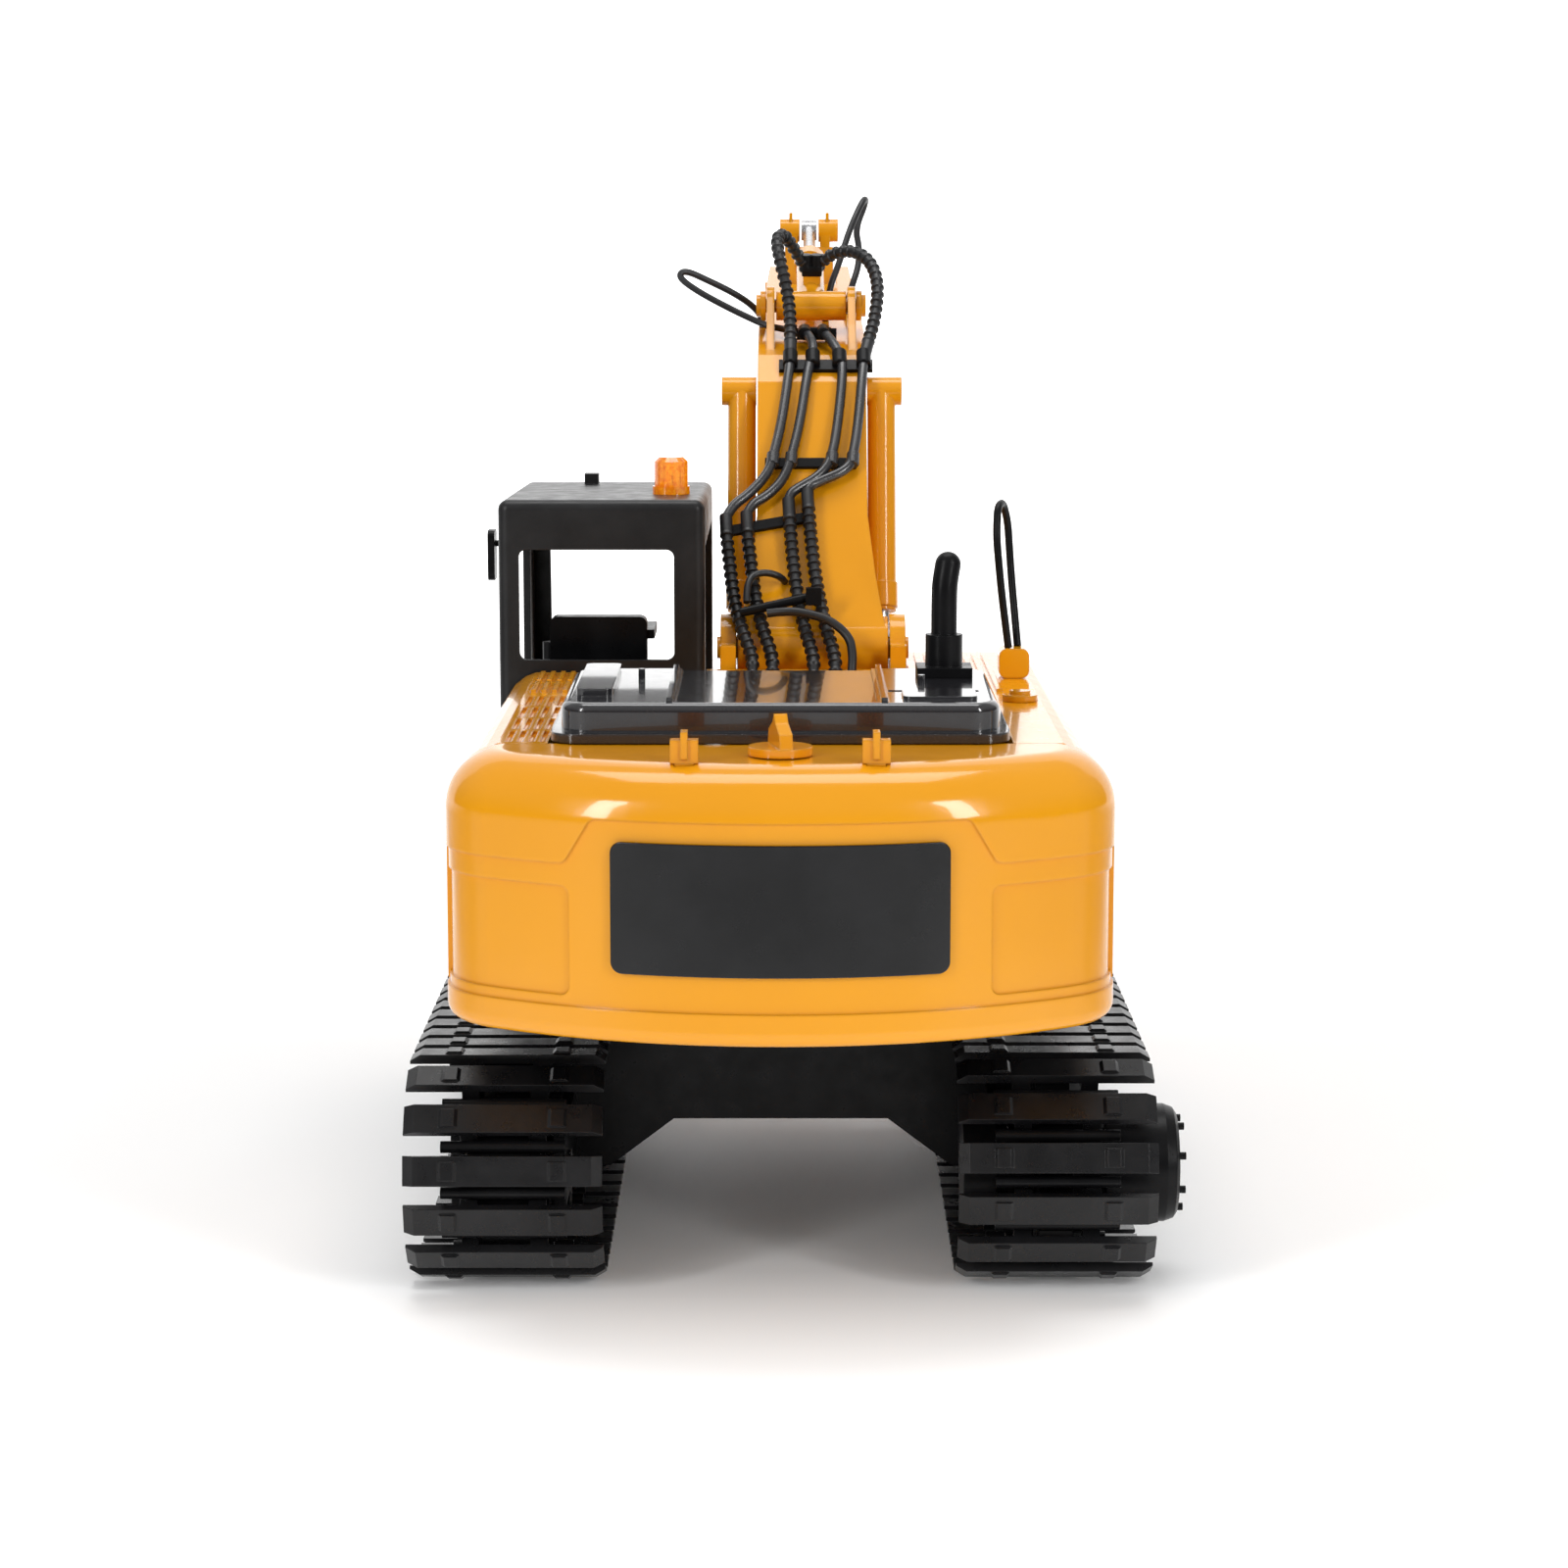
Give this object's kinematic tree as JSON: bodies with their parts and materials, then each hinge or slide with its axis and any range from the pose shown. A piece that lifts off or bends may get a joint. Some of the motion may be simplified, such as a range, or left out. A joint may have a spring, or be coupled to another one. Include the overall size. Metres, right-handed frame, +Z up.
{
  "type": "remote control excavator",
  "caption": "Tracked model digger with a revolving house, rounded tail weight, cab, lifting boom, stick and curling bucket.",
  "frame": {"origin": "on the ground under the middle of the machine's overall box", "axes": "+Z up, +Y forward from the tail towards the bucket, +X to the machine's right"},
  "size_m": [0.1908, 0.3856, 0.2562],
  "materials": {
    "yellow_shell": "glossy moulded",
    "hood_gloss": "glossy graphite",
    "dark_plastic": "satin black",
    "cab_black": "satin",
    "track_black": "satin",
    "badge_black": "printed label film",
    "board_green": "circuit board",
    "hose_rubber": "matt",
    "amber_lens": "clear amber",
    "bucket_metal": "painted",
    "metal": "turned"
  },
  "bodies": {
    "chassis": {"chassis_frame": "dark_plastic", "belly_plate": "dark_plastic", "slew_ring_gear": "metal", "right_track_frame": "dark_plastic", "left_track_frame": "dark_plastic", "right_track_shoes": "track_black", "left_track_shoes": "track_black", "track_pins": "dark_plastic", "drive_motors": "dark_plastic", "idler_axles": "metal"},
    "right_sprocket_wheel": {"right_sprocket": "dark_plastic", "right_hub_cover": "dark_plastic"},
    "left_sprocket_wheel": {"left_sprocket": "dark_plastic", "left_hub_cover": "dark_plastic"},
    "right_idler_wheel": {"right_idler": "dark_plastic"},
    "left_idler_wheel": {"left_idler": "dark_plastic"},
    "house": {"platform_plate": "dark_plastic", "counterweight": "yellow_shell", "rear_badge": "badge_black", "left_body_cover": "yellow_shell", "right_body_cover": "yellow_shell", "mid_deck_cover": "yellow_shell", "boom_bracket": "yellow_shell", "battery_pack": "dark_plastic", "control_board": "board_green", "slew_motor": "dark_plastic", "lifting_lugs": "yellow_shell", "fuel_cap": "yellow_shell", "handrail_foot": "yellow_shell", "handrail": "dark_plastic", "cab_shell": "cab_black", "cab_seat": "dark_plastic", "cab_controls": "dark_plastic", "side_mirror": "dark_plastic", "beacon_base": "amber_lens", "beacon_lens": "amber_lens", "deck_hoses": "hose_rubber", "deck_wires": "hose_rubber"},
    "slew_pinion_wheel": {"slew_pinion": "metal"},
    "hood": {"engine_hood": "hood_gloss", "exhaust_stack": "dark_plastic"},
    "latch": {"battery_knob": "yellow_shell"},
    "door": {"cab_door": "cab_black"},
    "boom": {"boom_arm": "yellow_shell", "boom_pins": "yellow_shell", "boom_pipes": "hose_rubber", "hose_clamps": "dark_plastic", "cylinder_hoses": "hose_rubber", "boom_wires": "hose_rubber"},
    "boom_rods": {"boom_cylinder_rods": "metal"},
    "boom_barrels": {"boom_cylinder_barrels": "yellow_shell"},
    "stick": {"stick_arm": "yellow_shell", "stick_pins": "yellow_shell"},
    "stick_barrel": {"stick_cylinder_barrel": "yellow_shell"},
    "stick_rod": {"stick_cylinder_rod": "metal"},
    "bucket": {"bucket": "bucket_metal"},
    "rocker": {"bucket_rocker": "yellow_shell"},
    "link": {"bucket_link": "yellow_shell"},
    "bucket_barrel": {"bucket_cylinder_barrel": "yellow_shell"},
    "bucket_rod": {"bucket_cylinder_rod": "metal"}
  },
  "joints": [
    {"name": "right_sprocket_spin", "type": "hinge", "parent": "chassis", "child": "right_sprocket_wheel", "pos_m": [0.0644, -0.12175, 0.0275], "axis": [1, 0, 0], "continuous": true},
    {"name": "left_sprocket_spin", "type": "hinge", "parent": "chassis", "child": "left_sprocket_wheel", "pos_m": [-0.0644, 0.06325, 0.0275], "axis": [1, 0, 0], "continuous": true},
    {"name": "right_idler_spin", "type": "hinge", "parent": "chassis", "child": "right_idler_wheel", "pos_m": [0.0644, 0.06325, 0.0275], "axis": [1, 0, 0], "continuous": true},
    {"name": "left_idler_spin", "type": "hinge", "parent": "chassis", "child": "left_idler_wheel", "pos_m": [-0.0644, -0.12175, 0.0275], "axis": [1, 0, 0], "continuous": true},
    {"name": "slew", "type": "hinge", "parent": "chassis", "child": "house", "pos_m": [0, -0.02925, 0.06], "axis": [0, 0, 1], "range_deg": [-360, 360]},
    {"name": "slew_pinion_spin", "type": "hinge", "parent": "house", "child": "slew_pinion_wheel", "pos_m": [0, -0.06525, 0.06], "axis": [0, 0, 1], "range_deg": [-1801, 1801]},
    {"name": "hood_open", "type": "hinge", "parent": "house", "child": "hood", "pos_m": [0, -0.07885, 0.133], "axis": [1, 0, 0], "range_deg": [-75, 0]},
    {"name": "latch_turn", "type": "hinge", "parent": "house", "child": "latch", "pos_m": [0, -0.16725, 0.132], "axis": [0, 0, 1], "range_deg": [0, 90]},
    {"name": "door_swing", "type": "hinge", "parent": "house", "child": "door", "pos_m": [-0.075, 0.01995, 0.08], "axis": [0, 0, 1], "range_deg": [0, 100]},
    {"name": "boom_lift", "type": "hinge", "parent": "house", "child": "boom", "pos_m": [0.0085, 0.00475, 0.136], "axis": [1, 0, 0], "range_deg": [-30, 8], "deforming": ["deck_hoses", "deck_wires"]},
    {"name": "boom_rod_swing", "type": "hinge", "parent": "house", "child": "boom_rods", "pos_m": [0.0085, 0.02675, 0.112], "axis": [1, 0, 0], "range_deg": [-27.26, 8]},
    {"name": "boom_ram_slide", "type": "slide", "parent": "boom_rods", "child": "boom_barrels", "axis": [0, 0.2971, 0.9549], "range_m": [-0.01673, 0.00519]},
    {"name": "stick_swing", "type": "hinge", "parent": "boom", "child": "stick", "pos_m": [0.0085, 0.17575, 0.226], "axis": [1, 0, 0], "range_deg": [-12, 45], "deforming": ["cylinder_hoses"]},
    {"name": "stick_ram_swing", "type": "hinge", "parent": "boom", "child": "stick_barrel", "pos_m": [0.0085, 0.08275, 0.225], "axis": [1, 0, 0], "range_deg": [-4.49, 1.93]},
    {"name": "stick_ram_slide", "type": "slide", "parent": "stick_barrel", "child": "stick_rod", "axis": [0, 0.9727, 0.2321], "range_m": [-0.01574, 0.00493]},
    {"name": "bucket_curl", "type": "hinge", "parent": "stick", "child": "bucket", "pos_m": [0.0085, 0.15075, 0.083], "axis": [1, 0, 0], "range_deg": [-32, 30]},
    {"name": "rocker_swing", "type": "hinge", "parent": "stick", "child": "rocker", "pos_m": [0.0085, 0.15455, 0.1047], "axis": [1, 0, 0], "range_deg": [-25.43, 23.9]},
    {"name": "link_swing", "type": "hinge", "parent": "rocker", "child": "link", "pos_m": [0.0085, 0.17655, 0.1107], "axis": [1, 0, 0], "range_deg": [-20.75, 22.07]},
    {"name": "bucket_ram_swing", "type": "hinge", "parent": "stick", "child": "bucket_barrel", "pos_m": [0.0085, 0.18975, 0.1995], "axis": [1, 0, 0], "range_deg": [-3.28, 3.43]},
    {"name": "bucket_ram_slide", "type": "slide", "parent": "bucket_barrel", "child": "bucket_rod", "axis": [0, -0.147, -0.9891], "range_m": [-0.00905, 0.00959]}
  ],
  "couplings": [
    {"joint": "right_idler_spin", "follows": "right_sprocket_spin", "ratio": 1},
    {"joint": "left_idler_spin", "follows": "left_sprocket_spin", "ratio": 1},
    {"joint": "slew_pinion_spin", "follows": "slew", "ratio": 5},
    {"joint": "boom_rod_swing", "follows": "boom_lift", "ratio": 0.87527},
    {"joint": "boom_ram_slide", "follows": "boom_lift", "m_per_rad": 0.030043},
    {"joint": "stick_ram_swing", "follows": "stick_swing", "ratio": -0.077557},
    {"joint": "stick_ram_slide", "follows": "stick_swing", "m_per_rad": -0.018765},
    {"joint": "rocker_swing", "follows": "bucket_curl", "ratio": 0.76329},
    {"joint": "link_swing", "follows": "bucket_curl", "ratio": -0.65845},
    {"joint": "bucket_ram_swing", "follows": "bucket_curl", "ratio": -0.076008},
    {"joint": "bucket_ram_slide", "follows": "bucket_curl", "m_per_rad": -0.015379}
  ]
}
